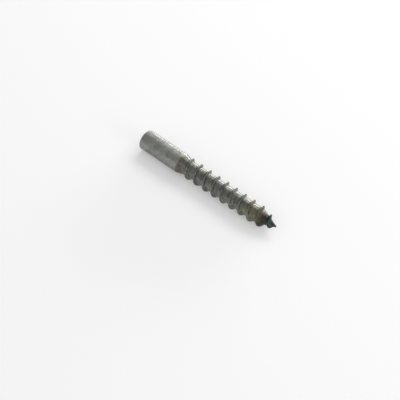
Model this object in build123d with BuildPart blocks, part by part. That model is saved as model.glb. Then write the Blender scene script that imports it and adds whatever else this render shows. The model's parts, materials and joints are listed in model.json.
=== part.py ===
from build123d import *
from math import ceil, cos, pi, radians, sin, tan
import os

# Headless lag screw, in millimetres: a plain shank with a chamfered end, a short neck cone, and a
# coarse right-hand wood thread that runs in on the neck and down a gimlet point.
# The screw lies on its side: its axis is X, the plain end is at the origin and the point is at +X.

# Plain shank and neck
overall_length = 76.2          # plain end to point
shank_diameter = 9.525
shank_length = 21.7            # plain end to the start of the neck cone
end_chamfer = 0.5              # 45 degree chamfer round the plain end
neck_length = 4.6              # cone from the shank down to the root of the thread

# Thread: one start, right-hand
thread_diameter = 9.525        # over the crests
root_diameter = 7.0            # the core between the ridges
thread_pitch = 5.08
crest_width = 0.3              # flat along the top of the ridge
flank_angle = 30.0             # each flank, from square to the axis
run_in_setback = 3.3           # how far before the neck's end the ridge begins, on the neck cone
run_in_angle = 212.0           # where round the axis it begins, from +Y towards +Z
run_in_turns = 0.5             # turns over which the ridge rises to full height
run_out_turns = 0.35           # turns over which it falls away beside the tip

# Gimlet point
point_angle = 20.0             # between the core cone and the axis
tip_radius = 0.4               # round end of the core cone
point_ridge_height = 1.35      # ridge above the core cone
bare_tip = 1.4                 # point to the middle of the ridge where it ends

# How the ridge is rooted in the core
sunk_depth = 0.1               # both ends of the ridge stop this far under the core's surface
root_share = 0.7               # the ridge reaches in to this share of the core's radius
stations_per_turn = 16         # sections that shape one turn of the ridge

shank_radius = shank_diameter / 2
thread_radius = thread_diameter / 2
root_radius = root_diameter / 2
neck_end = shank_length + neck_length
thread_start = neck_end - run_in_setback
thread_turns = (overall_length - bare_tip - thread_start) / thread_pitch

# The core cone is tangent to the round tip
point_slope = tan(radians(point_angle))
tip_center = overall_length - tip_radius
tangent_x = tip_center + tip_radius * sin(radians(point_angle))
tangent_radius = tip_radius * cos(radians(point_angle))
point_start = tangent_x - (root_radius - tangent_radius) / point_slope


def ridge_place(turn):
    """Distance from the plain end to the middle of the ridge, after this many turns of the thread."""
    return thread_start + thread_pitch * turn


def core_radius(x):
    """Radius of the core at a distance x from the plain end."""
    if x < neck_end:
        fall = max(x - shank_length, 0) / neck_length
        return shank_radius + (root_radius - shank_radius) * fall
    if x < point_start:
        return root_radius
    return tangent_radius + (tangent_x - x) * point_slope


def crest_radius(turn):
    """Radius of the ridge's crest: it runs in, stays inside the thread's diameter, and runs out."""
    rise = min(turn / run_in_turns, (thread_turns - turn) / run_out_turns, 1)
    height = (point_ridge_height + sunk_depth) * sin(rise * pi / 2)
    return min(core_radius(ridge_place(turn)) - sunk_depth + height, thread_radius)


def ridge_section(turn):
    """Corners of the ridge's section, each as distance along the axis and radius."""
    slope = tan(radians(flank_angle))
    half_crest = crest_width / 2
    crest = crest_radius(turn)
    core = core_radius(ridge_place(turn))
    reach = half_crest + (crest - core) * slope
    rear_foot = core_radius(ridge_place(turn) - reach) * root_share
    front_foot = core_radius(ridge_place(turn) + reach) * root_share
    return [
        (-half_crest - (crest - rear_foot) * slope, rear_foot),
        (-half_crest, crest),
        (half_crest, crest),
        (half_crest + (crest - front_foot) * slope, front_foot),
    ]


def section_plane(turn):
    """Plane through the axis that holds the ridge's section: X along the axis, Y away from it."""
    angle = radians(run_in_angle + 360 * turn)
    return Plane(origin=(ridge_place(turn), 0, 0), x_dir=(1, 0, 0), z_dir=(0, -sin(angle), cos(angle)))


# The ridge: one loft for each turn, through sections that turn about the axis
ridge_turns = []
for first_turn in range(ceil(thread_turns)):
    span = min(1, thread_turns - first_turn)
    stations = ceil(span * stations_per_turn)
    with BuildPart() as ridge_turn:
        for station in range(stations + 1):
            turn = first_turn + span * station / stations
            with BuildSketch(section_plane(turn)):
                with BuildLine():
                    Polyline(*ridge_section(turn), close=True)
                make_face()
        loft()
    ridge_turns.append(ridge_turn.part)

# The screw: the turned core, with the ridge on it
with BuildPart() as lag_screw:
    with BuildSketch(Plane.XZ):
        with BuildLine():
            tip = CenterArc((tip_center, 0), tip_radius, start_angle=0, arc_size=90 - point_angle)
            Polyline(
                tip @ 1,
                (point_start, root_radius),
                (neck_end, root_radius),
                (shank_length, shank_radius),
                (0, shank_radius),
                (0, 0),
                tip @ 0,
            )
        make_face()
    revolve(axis=Axis.X)
    chamfer(lag_screw.edges().filter_by(GeomType.CIRCLE).sort_by(Axis.X)[0], end_chamfer)
    add(ridge_turns)

lag_screw.part.label = "lag_screw"

os.makedirs("parts", exist_ok=True)
export_step(lag_screw.part, "parts/lag_screw.step")
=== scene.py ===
import json
import logging
import math
from collections.abc import Mapping, Sequence
from dataclasses import dataclass
from enum import Enum
from typing import Any, Union

import bpy
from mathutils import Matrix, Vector


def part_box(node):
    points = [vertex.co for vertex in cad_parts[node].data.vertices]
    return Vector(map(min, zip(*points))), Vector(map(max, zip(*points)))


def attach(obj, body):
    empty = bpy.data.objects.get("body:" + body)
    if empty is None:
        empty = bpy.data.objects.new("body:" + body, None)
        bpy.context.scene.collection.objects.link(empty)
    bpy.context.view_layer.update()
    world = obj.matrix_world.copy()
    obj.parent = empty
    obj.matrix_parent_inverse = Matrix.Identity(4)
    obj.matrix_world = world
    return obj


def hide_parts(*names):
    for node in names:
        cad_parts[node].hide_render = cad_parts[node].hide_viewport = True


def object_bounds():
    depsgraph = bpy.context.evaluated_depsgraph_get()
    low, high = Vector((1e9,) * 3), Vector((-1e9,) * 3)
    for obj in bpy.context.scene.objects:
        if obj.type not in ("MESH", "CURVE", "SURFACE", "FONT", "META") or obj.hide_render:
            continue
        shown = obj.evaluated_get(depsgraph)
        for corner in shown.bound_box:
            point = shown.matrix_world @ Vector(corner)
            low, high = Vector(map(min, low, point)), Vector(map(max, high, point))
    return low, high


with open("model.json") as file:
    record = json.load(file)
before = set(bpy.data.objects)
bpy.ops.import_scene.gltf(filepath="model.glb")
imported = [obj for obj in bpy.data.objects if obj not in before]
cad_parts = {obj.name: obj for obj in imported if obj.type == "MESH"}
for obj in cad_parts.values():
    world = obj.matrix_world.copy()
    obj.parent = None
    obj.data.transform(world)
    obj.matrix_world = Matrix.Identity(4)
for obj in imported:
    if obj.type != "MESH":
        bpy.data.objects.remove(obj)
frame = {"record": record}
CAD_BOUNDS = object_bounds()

log = logging.getLogger("lag_screw")

MM = 0.001
NODE = "lag_screw"
RIDGE_ATTRIBUTE = "ridge_height"
HALF_TURN = 0.5

Color = tuple[float, float, float, float]
Operand = Union["Value", float, int]
Paint = Union["Value", Color]

WHITE: Color = (1.0, 1.0, 1.0, 1.0)


# --- Node graphs ---


class Blend(Enum):
    """How one colour is laid on another."""

    MIX = "MIX"
    MULTIPLY = "MULTIPLY"


@dataclass(frozen=True)
class Value:
    """An output socket that takes part in sums, so that node maths reads as plain maths."""

    graph: "Graph"
    socket: bpy.types.NodeSocket

    def __add__(self, other: Operand) -> "Value":
        """Sum of the two."""
        return self.graph.math("ADD", self, other)

    def __radd__(self, other: Operand) -> "Value":
        """Sum of the two, the other first."""
        return self.graph.math("ADD", other, self)

    def __sub__(self, other: Operand) -> "Value":
        """This less the other."""
        return self.graph.math("SUBTRACT", self, other)

    def __rsub__(self, other: Operand) -> "Value":
        """The other less this."""
        return self.graph.math("SUBTRACT", other, self)

    def __mul__(self, other: Operand) -> "Value":
        """Product of the two."""
        return self.graph.math("MULTIPLY", self, other)

    def __rmul__(self, other: Operand) -> "Value":
        """Product of the two, the other first."""
        return self.graph.math("MULTIPLY", other, self)

    def __truediv__(self, other: Operand) -> "Value":
        """This over the other."""
        return self.graph.math("DIVIDE", self, other)

    def __rtruediv__(self, other: Operand) -> "Value":
        """The other over this."""
        return self.graph.math("DIVIDE", other, self)

    def __abs__(self) -> "Value":
        """This without its sign."""
        return self.graph.math("ABSOLUTE", self)

    def __gt__(self, other: Operand) -> "Value":
        """1 where this is greater than the other, else 0."""
        return self.graph.math("GREATER_THAN", self, other)

    def __lt__(self, other: Operand) -> "Value":
        """1 where this is less than the other, else 0."""
        return self.graph.math("LESS_THAN", self, other)


@dataclass(frozen=True)
class Made:
    """A node in a graph, whose outputs are read by name or number."""

    graph: "Graph"
    node: bpy.types.Node

    def __getitem__(self, output: Union[str, int]) -> Value:
        """The output socket of that name or number."""
        return Value(self.graph, self.node.outputs[output])


@dataclass(frozen=True)
class Graph:
    """A shader or geometry node tree that is built by expressions."""

    tree: bpy.types.NodeTree

    def add(
        self,
        kind: str,
        settings: Mapping[str, Any] | None = None,
        sockets: Mapping[Union[str, int], Any] | None = None,
    ) -> Made:
        """Adds a node.

        Args:
            kind: The node's type, such as "ShaderNodeTexNoise".
            settings: What the node is set to, such as a Math node's operation. They are set first.
            sockets: Values or links of its input sockets, by name or number.

        Returns:
            The node, with outputs that are read by name or number.
        """
        node = self.tree.nodes.new(kind)
        for name, setting in (settings or {}).items():
            setattr(node, name, setting)
        for name, given in (sockets or {}).items():
            if isinstance(given, Value):
                self.tree.links.new(given.socket, node.inputs[name])
            else:
                node.inputs[name].default_value = given
        return Made(self, node)

    def math(self, operation: str, *operands: Operand) -> Value:
        """Result of a Math node.

        Args:
            operation: The node's operation, such as "SMOOTH_MAX".
            operands: Its operands, in order.

        Returns:
            The node's output.
        """
        sockets = dict(enumerate(operands))
        return self.add("ShaderNodeMath", {"operation": operation}, sockets)["Value"]

    def ramp(self, value: Value, start: Operand, end: Operand, low: Operand, high: Operand) -> Value:
        """Value that goes from low to high as another goes from start to end, and stays there.

        Args:
            value: What drives it.
            start: Where it leaves low.
            end: Where it reaches high.
            low: Result up to start.
            high: Result from end on.

        Returns:
            The clamped result.
        """
        sockets = {"Value": value, "From Min": start, "From Max": end, "To Min": low, "To Max": high}
        return self.add("ShaderNodeMapRange", {"clamp": True}, sockets)["Result"]

    def mix(self, share: Operand, first: Paint, second: Paint, blend: Blend = Blend.MIX) -> Value:
        """Mixes two colours.

        Args:
            share: How much of the second there is.
            first: Colour, or a value that carries one.
            second: Colour, or a value that carries one.
            blend: How the second is laid on the first.

        Returns:
            The mixed colour.
        """
        settings = {"data_type": "RGBA", "blend_type": blend.value}
        return self.add("ShaderNodeMix", settings, {0: share, 6: first, 7: second})[2]

    def grey(self, value: Value) -> Value:
        """Colour whose three channels are one value."""
        return self.add("ShaderNodeCombineColor", sockets={0: value, 1: value, 2: value})[0]

    def noise(self, place: Value, scale: float, detail: float, roughness: float) -> Value:
        """Cloudy noise.

        Args:
            place: Vector that it is read at.
            scale: Clouds for each unit of that vector.
            detail: Octaves of finer clouds.
            roughness: How strong the finer clouds are.

        Returns:
            The noise, about 0.3 to 0.7.
        """
        sockets = {"Vector": place, "Scale": scale, "Detail": detail, "Roughness": roughness}
        return self.add("ShaderNodeTexNoise", {"noise_dimensions": "3D"}, sockets)[0]

    def vector(self, x: Operand, y: Operand, z: Operand) -> Value:
        """Vector of three values."""
        return self.add("ShaderNodeCombineXYZ", sockets={"X": x, "Y": y, "Z": z})[0]

    def parts(self, vector: Value) -> tuple[Value, Value, Value]:
        """The three values of a vector."""
        spot = self.add("ShaderNodeSeparateXYZ", sockets={0: vector})
        return spot["X"], spot["Y"], spot["Z"]

    def length(self, vector: Value) -> Value:
        """Length of a vector."""
        return self.add("ShaderNodeVectorMath", {"operation": "LENGTH"}, {0: vector})["Value"]


@dataclass(frozen=True)
class Fade:
    """A value that goes from low to high as another goes from start to end, and stays there."""

    start: float
    end: float
    low: float
    high: float

    def over(self, value: Value) -> Value:
        """The fade, driven by a value."""
        return value.graph.ramp(value, self.start, self.end, self.low, self.high)


@dataclass(frozen=True)
class Band:
    """A mark round one value of another: full up to inner from its middle, and gone at outer."""

    inner: float
    outer: float
    strength: float
    middle: float = 0.0

    def over(self, value: Value) -> Value:
        """The mark, driven by a value."""
        return value.graph.ramp(abs(value - self.middle), self.inner, self.outer, self.strength, 0.0)


def new_material(name: str) -> tuple[bpy.types.Material, Graph]:
    """Starts a material that has no nodes yet.

    Args:
        name: The material's name.

    Returns:
        The material, and the graph that it is built with.
    """
    material = bpy.data.materials.new(name)
    material.use_nodes = True
    material.node_tree.nodes.clear()
    return material, Graph(material.node_tree)


# --- The screw ---


@dataclass(frozen=True)
class ScrewForm:
    """Sizes of the screw, in metres, along +X from the plain end to the point.

    Attributes:
        length: Plain end to the tip.
        shank_radius: Radius of the plain shank.
        thread_radius: Radius over the crests.
        shank_length: Plain end to the neck cone.
        end_chamfer: Width and depth of the chamfer round the plain end.
        neck_length: Length of the neck cone.
        root_radius: Radius between the turns.
        pitch: Distance from one crest to the next.
        crest_width: Width of the ridge's flat crest.
        flank_angle: Angle of each flank to a plane across the axis.
        run_in_setback: How far before the neck's end the ridge begins.
        run_in_angle: Angle round the axis at which the ridge begins.
        run_in_turns: Turns over which the ridge rises.
        run_out_turns: Turns over which the ridge falls away.
        point_angle: Angle of the core cone to the axis.
        tip_radius: Radius of the round tip.
        point_ridge_height: Height of the ridge over the core cone.
        bare_tip: Length of the tip that the ridge leaves bare.
        sunk_depth: How far the ridge's foot lies inside the core.
        wear_depth: How far the crest is worn down at most.
        edge_rounding: Rounding of the chamfer's edge.
        shoulder_rounding: Rounding where the shank meets the neck cone.
        neck_rounding: Rounding where the neck cone meets the core.
        cone_rounding: Rounding where the core turns into its cone.
        top_rounding: Rounding where the ridge reaches its full height.
        crest_rounding: Rounding of the crest's two edges.
        foot_rounding: Fillet at the ridge's two feet.
    """

    length: float
    shank_radius: float
    thread_radius: float
    shank_length: float = 21.7 * MM
    end_chamfer: float = 0.5 * MM
    neck_length: float = 4.6 * MM
    root_radius: float = 3.5 * MM
    pitch: float = 5.08 * MM
    crest_width: float = 0.3 * MM
    flank_angle: float = math.radians(30)
    run_in_setback: float = 3.3 * MM
    run_in_angle: float = math.radians(212)
    run_in_turns: float = 0.5
    run_out_turns: float = 0.35
    point_angle: float = math.radians(20)
    tip_radius: float = 0.4 * MM
    point_ridge_height: float = 1.35 * MM
    bare_tip: float = 1.4 * MM
    sunk_depth: float = 0.1 * MM
    wear_depth: float = 0.07 * MM
    edge_rounding: float = 0.15 * MM
    shoulder_rounding: float = 0.2 * MM
    neck_rounding: float = 0.6 * MM
    cone_rounding: float = 0.8 * MM
    top_rounding: float = 0.1 * MM
    crest_rounding: float = 0.2 * MM
    foot_rounding: float = 0.25 * MM

    @classmethod
    def from_frame(cls) -> "ScrewForm":
        """The screw that fits the CAD node.

        Returns:
            The form, with its length and radii from the node's box and the record's shank.
        """
        low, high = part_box(NODE)
        shank = next(mount for mount in frame["record"]["mounts"] if mount["name"] == "shank")
        return cls(
            length=high.x - low.x,
            shank_radius=shank["dims"]["r_mm"] * MM,
            thread_radius=(high.z - low.z) / 2,
        )

    @property
    def thread_start(self) -> float:
        """Plain end to the middle of the ridge where it begins, on the neck cone."""
        return self.shank_length + self.neck_length - self.run_in_setback

    @property
    def thread_turns(self) -> float:
        """Turns of the ridge, from its start to its end beside the tip."""
        return (self.length - self.bare_tip - self.thread_start) / self.pitch

    @property
    def ridge_reach(self) -> float:
        """Half the width of the ridge's foot, with a little room for its fillets."""
        height = self.thread_radius - self.root_radius
        return self.crest_width / 2 + height * math.tan(self.flank_angle) + self.crest_rounding

    @property
    def tip_center(self) -> float:
        """Plain end to the centre of the round tip."""
        return self.length - self.tip_radius

    @property
    def tangent_place(self) -> float:
        """Plain end to where the core cone meets the round tip."""
        return self.tip_center + self.tip_radius * math.sin(self.point_angle)

    @property
    def tangent_radius(self) -> float:
        """Radius of the core where its cone meets the round tip."""
        return self.tip_radius * math.cos(self.point_angle)


@dataclass(frozen=True)
class MeshDensity:
    """Rows and columns of the screw's surface, by the stretch that they cover."""

    columns: int = 96
    face_rows: int = 4
    rim_rows: int = 12
    shank_rows: int = 6
    shoulder_rows: int = 8
    flank_rows: int = 10
    crest_rows: int = 4
    land_rows: int = 6

    @property
    def plain_rows(self) -> int:
        """Rows from the middle of the flat end to where the thread's rows begin."""
        return self.face_rows + self.rim_rows + self.shank_rows + self.shoulder_rows

    @property
    def pitch_rows(self) -> int:
        """Rows across one pitch of the thread."""
        return 2 * self.flank_rows + self.crest_rows + self.land_rows


@dataclass(frozen=True)
class Winding:
    """Where the grid's points go along and round the screw.

    Attributes:
        row: Row of the grid, from 0 at the middle of the flat end.
        share: Share of a turn round the screw.
        turn: Turns of the thread from where the ridge begins.
        offset: Distance along the axis from the middle of the ridge.
        place: Distance from the plain end.
        carries_ridge: 1 on the rows that follow the whole ridge, else 0.
    """

    row: Value
    share: Value
    turn: Value
    offset: Value
    place: Value
    carries_ridge: Value


class ScrewSurface:
    """Geometry node tree that winds a grid into the screw's whole surface.

    Rows of the grid run round the screw and columns run along it. The plain part's rows are circles.
    The thread's rows follow the helix, so each flank, crest and root keeps its own rows. Between the two,
    a wedge of rows fans out from one point on the neck.

    Attributes:
        spare_pitches: Pitches of rows besides the ridge's own: the wedge, and one past the tip.
        half_step: Halfway from one whole number to the next, to tell rows and pitches apart.
        row_slack: What keeps the first row of a pitch from being rounded down into the one before.
        tip_slack: How close to the tip the surface counts as closed.
        merge_distance: Distance within which points are merged, at the seam and the two ends.
        fillet_growth: How many times faster than the ridge its fillets grow.
        wear_seed: Which of the noise's lines the crest's wear follows.
        wear_scale: Worn spots for each turn.
        wear_start: Noise at which the crest begins to be worn.
        wear_end: Noise at which the crest is worn to the wear depth.
    """

    spare_pitches: int = 2
    half_step: float = 0.5
    row_slack: float = 1e-4
    tip_slack: float = 1e-7
    merge_distance: float = 0.0002 * MM
    fillet_growth: float = 4.0
    wear_seed: float = 3.0
    wear_scale: float = 7.0
    wear_start: float = 0.5
    wear_end: float = 0.7

    def __init__(self, form: ScrewForm, density: MeshDensity) -> None:
        """Starts the tree, with a named input for each size.

        Args:
            form: The screw's sizes.
            density: How many rows and columns the surface has.
        """
        self.form = form
        self.density = density
        self.tree = bpy.data.node_groups.new("screw_surface", "GeometryNodeTree")
        self.graph = Graph(self.tree)
        self.inputs: dict[str, tuple[str, float]] = {}
        given = {
            "Length": form.length,
            "Shank Radius": form.shank_radius,
            "Shank Length": form.shank_length,
            "End Chamfer": form.end_chamfer,
            "Neck Length": form.neck_length,
            "Root Radius": form.root_radius,
            "Thread Radius": form.thread_radius,
            "Pitch": form.pitch,
            "Crest Width": form.crest_width,
            "Ridge Height": form.point_ridge_height + form.sunk_depth,
            "Ridge Reach": form.ridge_reach,
            "Thread Start": form.thread_start,
            "Run In Angle": form.run_in_angle,
            "Run In Turns": form.run_in_turns,
            "Run Out Turns": form.run_out_turns,
            "Wear Depth": form.wear_depth,
            "Wear Seed": self.wear_seed,
        }
        self.sizes = {name: self._size(name, value) for name, value in given.items()}

    def _size(self, name: str, value: float) -> Value:
        """Adds a named input for a size.

        Args:
            name: The input's name.
            value: Its value for this screw, in metres, radians or turns.

        Returns:
            The input, as a value in the tree.
        """
        item = self.tree.interface.new_socket(name, in_out="INPUT", socket_type="NodeSocketFloat")
        self.inputs[name] = (item.identifier, value)
        return self.graph.add("NodeGroupInput")[name]

    def _core_radius(self, place: Value) -> Value:
        """Radius of the screw without its ridge.

        Args:
            place: Distance from the plain end.

        Returns:
            The radius there, with edges a little rounded.
        """
        math_node, form, size = self.graph.math, self.form, self.sizes
        chamfered = size["Shank Radius"] - size["End Chamfer"] + place
        neck_slope = (size["Shank Radius"] - size["Root Radius"]) / size["Neck Length"]
        neck = size["Shank Radius"] - (place - size["Shank Length"]) * neck_slope
        neck = math_node("SMOOTH_MAX", neck, size["Root Radius"], form.neck_rounding)
        radius = math_node("SMOOTH_MIN", size["Shank Radius"], chamfered, form.edge_rounding)
        radius = math_node("SMOOTH_MIN", radius, neck, form.shoulder_rounding)
        cone = form.tangent_radius + (form.tangent_place - place) * math.tan(form.point_angle)
        radius = math_node("SMOOTH_MIN", radius, cone, form.cone_rounding)
        past = place - form.tip_center
        squared = form.tip_radius**2 - past * past
        rounded = math_node("SQRT", math_node("MAXIMUM", squared, 0.0))
        on_tip = place > form.tangent_place
        return radius * (1 - on_tip) + rounded * on_tip

    def _rise(self, turn: Value) -> Value:
        """How far the ridge has risen.

        Args:
            turn: Turns of the thread from where the ridge begins.

        Returns:
            The rise: 0 at the ridge's two ends, and 1 between its run-in and its run-out.
        """
        math_node, form, size = self.graph.math, self.form, self.sizes
        rise = math_node("MINIMUM", turn / size["Run In Turns"], 1.0)
        fall = (form.thread_turns - turn) / size["Run Out Turns"]
        return math_node("MAXIMUM", math_node("MINIMUM", rise, fall), 0.0)

    def _wear(self, turn: Value) -> Value:
        """How far the ridge's crest is worn down.

        Args:
            turn: Turns of the thread from where the ridge begins.

        Returns:
            The depth, which is 0 over most of the crest.
        """
        place = self.graph.vector(turn, self.sizes["Wear Seed"], 0.0)
        spots = self.graph.noise(place, self.wear_scale, detail=3.0, roughness=0.6)
        return self.graph.ramp(spots, self.wear_start, self.wear_end, 0.0, self.sizes["Wear Depth"])

    def _ridge_radius(self, turn: Value, offset: Value) -> Value:
        """Radius of the ridge's surface.

        Args:
            turn: Turns of the thread from where the ridge begins.
            offset: Distance along the axis from the middle of the ridge.

        Returns:
            The radius of the crest or flank there, which falls below the core away from the ridge.
        """
        math_node, form, size = self.graph.math, self.form, self.sizes
        middle = size["Thread Start"] + size["Pitch"] * turn
        height = size["Ridge Height"] * math_node("SINE", self._rise(turn) * (math.pi / 2))
        crest = self._core_radius(middle) - form.sunk_depth + height
        crest = math_node("SMOOTH_MIN", crest, size["Thread Radius"], form.top_rounding)
        crest = math_node("MINIMUM", crest, size["Thread Radius"]) - self._wear(turn)
        off_crest = abs(offset) - size["Crest Width"] / 2
        flank = crest - off_crest / math.tan(form.flank_angle)
        return math_node("SMOOTH_MIN", crest, flank, form.crest_rounding)

    def _steps(self, row: Value, steps: Sequence[tuple[int, Operand]]) -> Value:
        """Distance after a number of rows, when stretches of rows are spread over given distances.

        Args:
            row: The row.
            steps: Rows and distance of each stretch, in order.

        Returns:
            The distance.
        """
        first, parts = 0, []
        for rows, distance in steps:
            parts.append(self.graph.ramp(row, float(first), float(first + rows), 0.0, distance))
            first += rows
        return sum(parts[1:], parts[0])

    def _plain_place(self, row: Value, cell_start: Value) -> Value:
        """Place of the plain part's rows, from the flat end to the ridge's foot where it begins.

        Args:
            row: Row of the grid.
            cell_start: Distance from the plain end to that foot.

        Returns:
            The distance from the plain end.
        """
        density, size = self.density, self.sizes
        shoulder = cell_start - size["Shank Length"]
        rim = 2 * size["End Chamfer"]
        stretches = [
            (density.face_rows, 0.0),
            (density.rim_rows, rim),
            (density.shank_rows, size["Shank Length"] - shoulder - rim),
            (density.shoulder_rows, 2 * shoulder),
        ]
        return self._steps(row, stretches)

    def _pitch_place(self, pitch_row: Value) -> Value:
        """Place of the rows within one pitch: up a flank, over the crest, down a flank, along the root.

        Args:
            pitch_row: Row, counted from the first of its pitch.

        Returns:
            The distance along the axis from the first row.
        """
        density, size = self.density, self.sizes
        flank = size["Ridge Reach"] - size["Crest Width"] / 2
        stretches = [
            (density.flank_rows, flank),
            (density.crest_rows, size["Crest Width"]),
            (density.flank_rows, flank),
            (density.land_rows, size["Pitch"] - 2 * size["Ridge Reach"]),
        ]
        return self._steps(pitch_row, stretches)

    def _wind(self, rows: int) -> Winding:
        """Works out where the grid's points go along and round the screw.

        Args:
            rows: Rows of the whole grid.

        Returns:
            The places.
        """
        density, size, math_node = self.density, self.sizes, self.graph.math
        across, round_screw, _ = self.graph.parts(self.graph.add("GeometryNodeInputPosition")[0])
        row = across + rows / 2
        share = round_screw / density.columns + HALF_TURN
        cell_start = size["Thread Start"] - size["Ridge Reach"]
        plain = self._plain_place(row, cell_start)
        thread_row = row - density.plain_rows
        pitches = math_node("FLOOR", thread_row / density.pitch_rows + self.row_slack)
        along = self._pitch_place(thread_row - pitches * density.pitch_rows)
        # The first pitch of rows is the wedge, so the ridge's first turn is the second.
        turn = pitches - 1 + share
        in_wedge = pitches < self.half_step
        wound = size["Pitch"] * turn * (1 - in_wedge) + along * (share * in_wedge + 1 - in_wedge)
        on_thread = thread_row > -self.half_step
        place = plain * (1 - on_thread) + (cell_start + wound) * on_thread
        return Winding(
            row=row,
            share=share,
            turn=turn,
            offset=along - size["Ridge Reach"],
            place=math_node("MINIMUM", place, size["Length"]),
            carries_ridge=on_thread * (1 - in_wedge),
        )

    def _radius(self, winding: Winding, core: Value) -> Value:
        """Radius of the whole surface, which closes at the flat end's middle and at the tip.

        Args:
            winding: Where the points are along and round the screw.
            core: Radius there without the ridge.

        Returns:
            The radius there.
        """
        graph, form = self.graph, self.form
        ridge = self._ridge_radius(winding.turn, winding.offset)
        grown = graph.math("MINIMUM", self._rise(winding.turn) * self.fillet_growth, 1.0)
        threaded = graph.math("SMOOTH_MAX", core, ridge, grown * form.foot_rounding)
        radius = core * (1 - winding.carries_ridge) + threaded * winding.carries_ridge
        radius = radius * graph.ramp(winding.row, 0.0, float(self.density.face_rows), 0.0, 1.0)
        return radius * (winding.place < form.length - self.tip_slack)

    def _within_ends(self) -> Value:
        """Keeps points from passing the tip, where so many are merged into one.

        Returns:
            The position of each point, no further than the tip.
        """
        graph, size = self.graph, self.sizes
        corner = graph.vector(size["Length"], size["Thread Radius"], size["Thread Radius"])
        position = graph.add("GeometryNodeInputPosition")[0]
        return graph.add("ShaderNodeVectorMath", {"operation": "MINIMUM"}, {0: position, 1: corner})[0]

    def _closed(self, surface: Value, ridge_height: Value) -> Value:
        """Turns the wound grid into a closed mesh that faces outwards.

        Args:
            surface: The wound grid.
            ridge_height: Height of the ridge at each point, which the mesh keeps for its material.

        Returns:
            The mesh.
        """
        add = self.graph.add
        marked = add(
            "GeometryNodeStoreNamedAttribute",
            {"data_type": "FLOAT", "domain": "POINT"},
            {"Geometry": surface, "Name": RIDGE_ATTRIBUTE, "Value": ridge_height},
        )
        merging = {"Geometry": marked[0], "Distance": self.merge_distance}
        closed = add("GeometryNodeMergeByDistance", sockets=merging)
        trimming = {"Geometry": closed[0], "Position": self._within_ends()}
        trimmed = add("GeometryNodeSetPosition", sockets=trimming)
        return add("GeometryNodeFlipFaces", sockets={"Mesh": trimmed[0]})[0]

    def build(self, material: bpy.types.Material) -> bpy.types.NodeTree:
        """Builds the tree.

        Args:
            material: What the surface is made of.

        Returns:
            The finished tree.
        """
        density, graph, size = self.density, self.graph, self.sizes
        pitches = math.ceil(self.form.thread_turns) + self.spare_pitches
        rows = density.plain_rows + density.pitch_rows * pitches
        grid_size = {
            "Size X": float(rows),
            "Size Y": float(density.columns),
            "Vertices X": rows + 1,
            "Vertices Y": density.columns + 1,
        }
        grid = graph.add("GeometryNodeMeshGrid", sockets=grid_size)
        winding = self._wind(rows)
        core = self._core_radius(winding.place)
        radius = self._radius(winding, core)
        angle = size["Run In Angle"] + winding.share * math.tau
        point = graph.vector(
            winding.place, radius * graph.math("COSINE", angle), radius * graph.math("SINE", angle)
        )
        surface = graph.add("GeometryNodeSetPosition", sockets={"Geometry": grid["Mesh"], "Position": point})
        ridge_height = (radius - core) / (size["Thread Radius"] - size["Root Radius"])
        mesh = self._closed(surface[0], ridge_height * winding.carries_ridge)
        real = graph.add("GeometryNodeRealizeInstances", sockets={0: mesh})
        dressed = graph.add("GeometryNodeSetMaterial", sockets={"Geometry": real[0], "Material": material})
        self.tree.interface.new_socket("Geometry", in_out="OUTPUT", socket_type="NodeSocketGeometry")
        graph.add("NodeGroupOutput", sockets={"Geometry": dressed[0]})
        return self.tree


@dataclass(frozen=True)
class Tint:
    """A colour that the steel takes on along the screw, spread over a blend round its place."""

    color: Color
    place: float
    blend: float


@dataclass(frozen=True)
class SteelReading:
    """What the steel's finish is worked out from, at each point of the surface.

    Attributes:
        along: Distance from the plain end.
        past_shank: Distance past the shank's end, below 0 on the shank.
        inside: Distance inwards from the inner edge of the plain end's chamfer.
        aside: Turns of the thread from the middle of the nearest crest.
        ridge: Height of the thread's ridge, from 0 at its foot to 1 at full height.
        on_shank: 1 on the shank, and 0 on the neck and the thread.
        clouds: Coarse noise.
        mottle: Finer noise.
        grain: Finest noise.
        drawn: Streaks along the screw.
        rolled: Streaks along the thread's helix.
        streaks: Drawn streaks on the shank and rolled ones past it.
    """

    along: Value
    past_shank: Value
    inside: Value
    aside: Value
    ridge: Value
    on_shank: Value
    clouds: Value
    mottle: Value
    grain: Value
    drawn: Value
    rolled: Value
    streaks: Value


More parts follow.
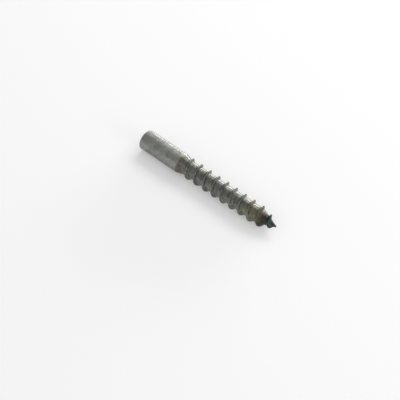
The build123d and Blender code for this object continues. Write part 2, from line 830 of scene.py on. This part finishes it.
@dataclass(frozen=True)
class SteelFinish:
    """Bare steel: drawn on the shank, rolled on the thread, tinted by heat towards the point.

    Scales are counts for each metre, contrasts are shares of the tone for a noise that goes from 0 to 1,
    and depths are in millimetres.

    Attributes:
        tint_wander: How far the clouds shift the edges of the tints.
        noise_shift: Shift of the coordinates, because all octaves of a noise meet at the origin.
        noise_middle: Middle of each noise.
        drawn_stretch: How much of the screw's length the drawn streaks follow.
        rolled_scale: Scale of the rolled streaks, which are read round a circle of radius 1.
        rolled_stretch: How fast the rolled streaks change along the screw.
        shank_edge: From the shank's finish to the neck's.
        off_root: From the root to the ridge.
        crest_wear_and_highlight: Crest lighter as worn bare steel and by a painted highlight, by turns from
            its middle.
        crest_wear_and_highlight_spots: How much more the crest is lightened, as worn steel and painted
            highlight, by mottle.
        crest_shade_line: Painted shade, a dark line beside the crest, by turns from its middle.
        line_wander: How far the mottle shifts that line of painted shade.
        flank_start: Darker flanks, from their foot up.
        flank_end: Darker flanks, up to the crest.
        shoulder_highlight: Painted highlight, a bright ring where the shank ends.
        chamfer_highlight: Painted highlight on the chamfer, by share of its width along the screw.
        off_face: From the chamfer to the flat end face.
        face_shade_ring: Painted shade, a dark ring on the end face.
        on_face: From the end face to the chamfer.
        stains: Dark spots, by the sum of mottle and clouds.
        stained: From the end that has them to the rest of the screw.
        shank_roughness: Added roughness of the shank.
        thread_roughness: Roughness from the neck to the thread.
        scale_roughness: Added roughness towards the point.
        uneven_roughness: Added roughness, by the sum of streaks and grain.
    """

    form: ScrewForm
    name: str = "drawn_steel"
    shank_color: Color = (0.270, 0.276, 0.255, 1.0)
    neck_color: Color = (0.144, 0.140, 0.122, 1.0)
    thread_color: Color = (0.170, 0.170, 0.152, 1.0)
    straw_color: Color = (0.163, 0.159, 0.118, 1.0)
    bronze_color: Color = (0.098, 0.093, 0.070, 1.0)
    purple_color: Color = (0.050, 0.043, 0.037, 1.0)
    point_color: Color = (0.046, 0.057, 0.054, 1.0)
    tint_wander: float = 1.6 * MM

    noise_shift: float = 0.31
    noise_middle: float = 0.5
    cloud_scale: float = 300.0
    mottle_scale: float = 1100.0
    grain_scale: float = 3200.0
    drawn_scale: float = 1500.0
    drawn_stretch: float = 0.06
    rolled_scale: float = 2.2
    rolled_stretch: float = 60.0
    shank_edge: Fade = Fade(start=0.0, end=0.1 * MM, low=1.0, high=0.0)

    shank_streaks: float = 0.9
    thread_streaks: float = 2.2
    cloud_contrast: float = 1.1
    shank_mottle: float = 0.8
    thread_mottle: float = 1.3
    grain_contrast: float = 0.4

    off_root: Fade = Fade(start=0.02, end=0.12, low=0.0, high=1.0)
    # Worn crests, lightened further by a painted highlight.
    crest_wear_and_highlight: Band = Band(middle=-0.03, inner=0.04, outer=0.07, strength=1.0)
    crest_wear_and_highlight_spots: Fade = Fade(start=0.35, end=0.6, low=1.0, high=2.8)
    # Painted shade: a dark line beside each crest, where the flank's corner is shaded.
    crest_shade_line: Band = Band(middle=-0.13, inner=0.0, outer=0.05, strength=0.6)
    line_wander: float = 0.1
    flank_start: Fade = Fade(start=0.05, end=0.2, low=0.0, high=0.15)
    flank_end: Fade = Fade(start=0.8, end=0.95, low=1.0, high=0.0)

    # Painted highlight: a bright ring round the shank's edge at the neck.
    shoulder_highlight: Band = Band(inner=0.1 * MM, outer=0.3 * MM, strength=0.25)
    # Painted highlight on the end chamfer.
    chamfer_highlight: Fade = Fade(start=0.8, end=1.0, low=0.35, high=0.0)
    off_face: Fade = Fade(start=0.0, end=0.1 * MM, low=1.0, high=0.0)
    # Painted shade: a dark ring on the end face, inside the chamfer.
    face_shade_ring: Band = Band(middle=0.3 * MM, inner=0.05 * MM, outer=0.2 * MM, strength=0.3)
    on_face: Fade = Fade(start=0.02 * MM, end=0.05 * MM, low=1.0, high=0.0)
    stains: Fade = Fade(start=1.06, end=1.2, low=0.0, high=0.3)
    stained: Fade = Fade(start=2 * MM, end=4 * MM, low=1.0, high=0.0)

    drawn_depth: float = 0.006
    rolled_depth: float = 0.012
    grain_depth: float = 0.005
    cloud_depth: float = 0.02
    shank_roughness: float = 0.11
    thread_roughness: Fade = Fade(start=3 * MM, end=6 * MM, low=0.31, high=0.28)
    scale_roughness: Fade = Fade(start=-12 * MM, end=-9 * MM, low=0.0, high=0.12)
    uneven_roughness: Fade = Fade(start=0.7, end=1.3, low=0.0, high=0.08)

    def _tints(self) -> tuple[Tint, ...]:
        """Colours that follow the shank's, in order towards the point."""
        neck, tip = self.form.shank_length, self.form.length
        return (
            Tint(self.neck_color, place=neck, blend=0.3 * MM),
            Tint(self.thread_color, place=neck + 3 * MM, blend=3.5 * MM),
            Tint(self.straw_color, place=tip - 16 * MM, blend=5 * MM),
            Tint(self.bronze_color, place=tip - 9 * MM, blend=2.5 * MM),
            Tint(self.purple_color, place=tip - 7 * MM, blend=2 * MM),
            Tint(self.point_color, place=tip - 4.9 * MM, blend=0.8 * MM),
        )

    def _read(self, graph: Graph) -> SteelReading:
        """Reads the surface.

        Args:
            graph: The material's graph.

        Returns:
            Where each point is on the screw, and the noises there.
        """
        form = self.form
        along, across, up = graph.parts(graph.add("ShaderNodeTexCoord")["Object"])
        shifted_across, shifted_up = across + self.noise_shift, up + self.noise_shift
        place = graph.vector(along + self.noise_shift, shifted_across, shifted_up)
        stretched = graph.vector(along * self.drawn_stretch + self.noise_shift, shifted_across, shifted_up)
        angle = graph.math("ARCTAN2", up, across)
        turns = (along - form.thread_start) / form.pitch - (angle - form.run_in_angle) / math.tau
        lead = turns * math.tau
        helix = graph.vector(
            graph.math("COSINE", lead), graph.math("SINE", lead), along * self.rolled_stretch
        )
        past_shank = along - form.shank_length
        on_shank = self.shank_edge.over(past_shank)
        drawn = graph.noise(stretched, self.drawn_scale, detail=4.0, roughness=0.65)
        rolled = graph.noise(helix, self.rolled_scale, detail=5.0, roughness=0.65)
        return SteelReading(
            along=along,
            past_shank=past_shank,
            inside=form.shank_radius - form.end_chamfer - graph.length(graph.vector(0.0, across, up)),
            aside=graph.math("WRAP", turns, HALF_TURN, -HALF_TURN),
            ridge=graph.add("ShaderNodeAttribute", {"attribute_name": RIDGE_ATTRIBUTE})["Fac"],
            on_shank=on_shank,
            clouds=graph.noise(place, self.cloud_scale, detail=4.0, roughness=0.6),
            mottle=graph.noise(place, self.mottle_scale, detail=3.0, roughness=0.6),
            grain=graph.noise(place, self.grain_scale, detail=2.0, roughness=0.6),
            drawn=drawn,
            rolled=rolled,
            streaks=drawn * on_shank + rolled * (1 - on_shank),
        )

    def _tinted(self, graph: Graph, at: SteelReading) -> Paint:
        """Colour along the screw.

        Args:
            graph: The material's graph.
            at: What is read at each point.

        Returns:
            The colour, with every tint laid on.
        """
        wander = (at.clouds - self.noise_middle) * self.tint_wander * (1 - at.on_shank)
        wandering = at.along + wander
        color: Paint = self.shank_color
        for tint in self._tints():
            start, end = tint.place - tint.blend / 2, tint.place + tint.blend / 2
            color = graph.mix(graph.ramp(wandering, start, end, 0.0, 1.0), color, tint.color)
        return color

    def _unevenness(self, at: SteelReading) -> Value:
        """Tone of the streaks and clouds.

        Args:
            at: What is read at each point.

        Returns:
            The tone, about 1.
        """
        streak_contrast = self.thread_streaks + at.on_shank * (self.shank_streaks - self.thread_streaks)
        mottle_contrast = self.thread_mottle + at.on_shank * (self.shank_mottle - self.thread_mottle)
        tone = 1 + (at.streaks - self.noise_middle) * streak_contrast
        tone = tone + (at.clouds - self.noise_middle) * self.cloud_contrast
        tone = tone + (at.mottle - self.noise_middle) * mottle_contrast
        return tone + (at.grain - self.noise_middle) * self.grain_contrast

    def _thread_tone(self, at: SteelReading) -> Value:
        """Tone of the thread: crests lighter as worn steel and by a painted highlight, a line of painted
        shade beside each, and darker flanks.

        Args:
            at: What is read at each point.

        Returns:
            The tone, 1 where there is no ridge.
        """
        on_ridge = self.off_root.over(at.ridge)
        # The crest is lighter as worn steel and by a painted highlight, patchy by mottle.
        crest = self.crest_wear_and_highlight.over(at.aside) * on_ridge * self.crest_wear_and_highlight_spots.over(at.mottle)
        wandering = at.aside + (at.mottle - self.noise_middle) * self.line_wander
        # A line of painted shade beside the crest.
        line = self.crest_shade_line.over(wandering) * on_ridge
        flank = self.flank_start.over(at.ridge) * self.flank_end.over(at.ridge)
        return (1 + crest) * (1 - line) * (1 - flank)

    def _shank_tone(self, at: SteelReading) -> Value:
        """Tone of the shank's edges and end face, which carry painted highlights and a ring of painted shade,
        and of the stains beside it.

        Args:
            at: What is read at each point.

        Returns:
            The tone, 1 on the rest of the screw.
        """
        # Painted highlights on the chamfer and the shoulder, a ring of painted shade on the end face, and
        # stains near the end.
        chamfer = self.chamfer_highlight.over(at.along / self.form.end_chamfer) * self.off_face.over(at.inside)
        highlights = self.shoulder_highlight.over(at.past_shank) + chamfer
        shade_ring = self.face_shade_ring.over(at.inside) * self.on_face.over(at.along)
        spots = self.stains.over(at.mottle + at.clouds) * self.stained.over(at.along)
        return (1 + highlights) * (1 - shade_ring) * (1 - spots)

    def _roughness(self, at: SteelReading) -> Value:
        """Roughness over the screw.

        Args:
            at: What is read at each point.

        Returns:
            The roughness.
        """
        smooth = self.thread_roughness.over(at.past_shank) + at.on_shank * self.shank_roughness
        scaled = self.scale_roughness.over(at.along - self.form.length)
        return smooth + scaled + self.uneven_roughness.over(at.streaks + at.grain)

    def _bump(self, graph: Graph, at: SteelReading) -> Value:
        """Fine relief of the streaks, grain and clouds.

        Args:
            graph: The material's graph.
            at: What is read at each point.

        Returns:
            The bumped normal.
        """
        drawn = at.drawn * at.on_shank * self.drawn_depth
        rolled = at.rolled * (1 - at.on_shank) * self.rolled_depth
        height = drawn + rolled + at.grain * self.grain_depth + at.clouds * self.cloud_depth
        return graph.add("ShaderNodeBump", sockets={"Strength": 1.0, "Distance": MM, "Height": height})[0]

    def build(self) -> bpy.types.Material:
        """Makes the material.

        Returns:
            The material.
        """
        material, graph = new_material(self.name)
        at = self._read(graph)
        tone = self._unevenness(at) * self._thread_tone(at) * self._shank_tone(at)
        looks = {
            "Base Color": graph.mix(1.0, self._tinted(graph, at), graph.grey(tone), Blend.MULTIPLY),
            "Metallic": 1.0,
            "Roughness": self._roughness(at),
            "Normal": self._bump(graph, at),
        }
        shader = graph.add("ShaderNodeBsdfPrincipled", sockets=looks)
        graph.add("ShaderNodeOutputMaterial", sockets={"Surface": shader["BSDF"]})
        return material


@dataclass
class LagScrew:
    """The screw: one piece of steel, whose edges are sharp from one angle between faces on."""

    form: ScrewForm
    density: MeshDensity
    finish: SteelFinish
    name: str = "lag_screw_dressed"
    sharp_angle: float = math.radians(35)

    def _mesh(self, piece: bpy.types.Object) -> bpy.types.Mesh:
        """Winds the surface.

        Args:
            piece: Object that carries the surface's modifier for as long as it is evaluated.

        Returns:
            The plain mesh.
        """
        surface = ScrewSurface(self.form, self.density)
        modifier = piece.modifiers.new("surface", "NODES")
        modifier.node_group = surface.build(self.finish.build())
        for identifier, value in surface.inputs.values():
            modifier[identifier] = value
        depsgraph = bpy.context.evaluated_depsgraph_get()
        mesh = bpy.data.meshes.new_from_object(piece.evaluated_get(depsgraph), depsgraph=depsgraph)
        piece.modifiers.clear()
        mesh.shade_smooth()
        mesh.set_sharp_from_angle(angle=self.sharp_angle)
        return mesh

    def build(self) -> bpy.types.Object:
        """Makes the screw and puts it in the CAD node's place.

        Returns:
            The finished piece.
        """
        piece = bpy.data.objects.new(self.name, bpy.data.meshes.new(self.name))
        bpy.context.scene.collection.objects.link(piece)
        piece.data = self._mesh(piece)
        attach(piece, "root")
        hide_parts(NODE)
        return piece


# --- Studio ---


def direction(azimuth: float, elevation: float) -> Vector:
    """Direction towards a place round the screw.

    Args:
        azimuth: Degrees round +Z, from -Y towards +X.
        elevation: Degrees above the floor.

    Returns:
        The unit vector.
    """
    turn, rise = math.radians(azimuth), math.radians(elevation)
    return Vector((math.sin(turn) * math.cos(rise), -math.cos(turn) * math.cos(rise), math.sin(rise)))


@dataclass(frozen=True)
class FloorFinish:
    """Smooth white paper that looks white from where it is seen, and keeps the screw's shadow.

    Attributes:
        name: The material's name.
        color: The paper's colour.
        lift: Strength of its glow for what sees it, by metres from the screw.
    """

    name: str = "white_paper"
    color: Color = (0.82, 0.82, 0.82, 1.0)
    lift: Fade = Fade(start=0.3, end=1.2, low=0.22, high=0.55)

    def build(self) -> bpy.types.Material:
        """Makes the material.

        Returns:
            The material.
        """
        material, graph = new_material(self.name)
        path = graph.add("ShaderNodeLightPath")
        seen = graph.math("MAXIMUM", path["Is Camera Ray"], path["Is Glossy Ray"])
        seen = graph.math("MAXIMUM", seen, path["Is Transmission Ray"])
        paper = graph.add("ShaderNodeBsdfDiffuse", sockets={"Color": self.color})
        lift = self.lift.over(graph.length(graph.add("ShaderNodeTexCoord")["Object"]))
        glow = graph.add("ShaderNodeEmission", sockets={"Color": WHITE, "Strength": seen * lift})
        both = graph.add("ShaderNodeAddShader", sockets={0: paper[0], 1: glow[0]})
        graph.add("ShaderNodeOutputMaterial", sockets={"Surface": both[0]})
        return material


@dataclass(frozen=True)
class Lamp:
    """A soft lamp that points at the screw, with its angles in degrees and its power in watts."""

    name: str
    azimuth: float
    elevation: float
    width: float
    height: float
    power: float
    distance: float = 1.0

    def build(self, aim: Vector) -> bpy.types.Object:
        """Hangs the lamp.

        Args:
            aim: What it points at.

        Returns:
            The lamp.
        """
        light = bpy.data.lights.new(self.name, "AREA")
        light.shape = "RECTANGLE"
        light.size = self.width
        light.size_y = self.height
        light.energy = self.power
        lamp = bpy.data.objects.new(self.name, light)
        bpy.context.scene.collection.objects.link(lamp)
        back = direction(self.azimuth, self.elevation)
        lamp.location = aim + back * self.distance
        lamp.rotation_euler = back.to_track_quat("Z", "Y").to_euler()
        lamp.visible_camera = False
        return lamp


@dataclass
class Studio:
    """Pale floor, soft lamps and the camera.

    Attributes:
        azimuth: Degrees of the camera round the screw.
        elevation: Degrees of the camera above the floor.
        lens: The camera's focal length, in millimetres, as its sensor's width is.
        aim_left: How far to the left of the screw's middle the camera looks.
        aim_below: How far below it the camera looks.
        room: Light of the room by the rise of its direction: a white wall, and even light above it.
    """

    azimuth: float = 41.0
    elevation: float = 51.8
    distance: float = 0.7
    lens: float = 142.4
    sensor: float = 36.0
    aim_left: float = 4.2 * MM
    aim_below: float = 8.0 * MM
    floor_size: float = 6.0
    floor_finish: FloorFinish = FloorFinish()
    room: Fade = Fade(start=0.14, end=0.2, low=1.0, high=0.52)
    lamps: tuple[Lamp, ...] = (
        Lamp("back_lamp", azimuth=180, elevation=5.5, width=1.0, height=0.15, power=8.0),
        Lamp("upper_lamp", azimuth=180, elevation=45, width=1.0, height=0.4, power=3.6),
        Lamp("right_lamp", azimuth=90, elevation=20, width=0.34, height=0.34, power=1.3),
        Lamp("front_lamp", azimuth=15, elevation=38, width=0.9, height=0.4, power=0.6),
    )

    def build_floor(self, height: float) -> bpy.types.Object:
        """Lays the floor.

        Args:
            height: Its height, which is the screw's lowest point.

        Returns:
            The floor.
        """
        half = self.floor_size / 2
        mesh = bpy.data.meshes.new("floor")
        corners = [(-half, -half, height), (half, -half, height), (half, half, height), (-half, half, height)]
        mesh.from_pydata(corners, [], [(0, 1, 2, 3)])
        mesh.materials.append(self.floor_finish.build())
        floor = bpy.data.objects.new("floor", mesh)
        bpy.context.scene.collection.objects.link(floor)
        return floor

    def build_lamps(self, aim: Vector) -> None:
        """Hangs the lamps.

        Args:
            aim: What they point at.
        """
        for lamp in self.lamps:
            lamp.build(aim)
            log.info("%s: %g W", lamp.name, lamp.power)

    def build_world(self) -> bpy.types.World:
        """Fills the room with even light, and puts a white wall round its foot.

        Returns:
            The room's world.
        """
        world = bpy.data.worlds.new("room")
        bpy.context.scene.world = world
        world.use_nodes = True
        world.node_tree.nodes.clear()
        graph = Graph(world.node_tree)
        rise = graph.parts(graph.add("ShaderNodeTexCoord")["Generated"])[2]
        light = graph.add("ShaderNodeBackground", sockets={"Color": WHITE, "Strength": self.room.over(rise)})
        graph.add("ShaderNodeOutputWorld", sockets={"Surface": light[0]})
        return world

    def build_camera(self, aim: Vector) -> bpy.types.Object:
        """Sets the camera up.

        Args:
            aim: The screw's middle, from which the framing is shifted.

        Returns:
            The camera.
        """
        data = bpy.data.cameras.new("camera")
        data.lens = self.lens
        data.sensor_width = self.sensor
        camera = bpy.data.objects.new("camera", data)
        bpy.context.scene.collection.objects.link(camera)
        back = direction(self.azimuth, self.elevation)
        turn = back.to_track_quat("Z", "Y")
        framed = aim - turn @ Vector((self.aim_left, self.aim_below, 0))
        camera.location = framed + back * self.distance
        camera.rotation_euler = turn.to_euler()
        bpy.context.scene.camera = camera
        return camera


def main() -> None:
    """Builds the screw and its studio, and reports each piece."""
    logging.basicConfig(level=logging.INFO, format="%(name)s: %(message)s")
    bpy.context.scene.view_settings.view_transform = "Standard"
    form = ScrewForm.from_frame()
    screw = LagScrew(form, MeshDensity(), SteelFinish(form)).build()
    log.info("%s: %d vertices, %d faces", screw.name, len(screw.data.vertices), len(screw.data.polygons))
    low, high = CAD_BOUNDS
    middle = (low + high) / 2
    studio = Studio()
    floor = studio.build_floor(low.z)
    log.info("%s: %g m wide", floor.name, floor.dimensions.x)
    studio.build_lamps(middle)
    studio.build_world()
    studio.build_camera(middle)


if __name__ == "__main__":
    main()
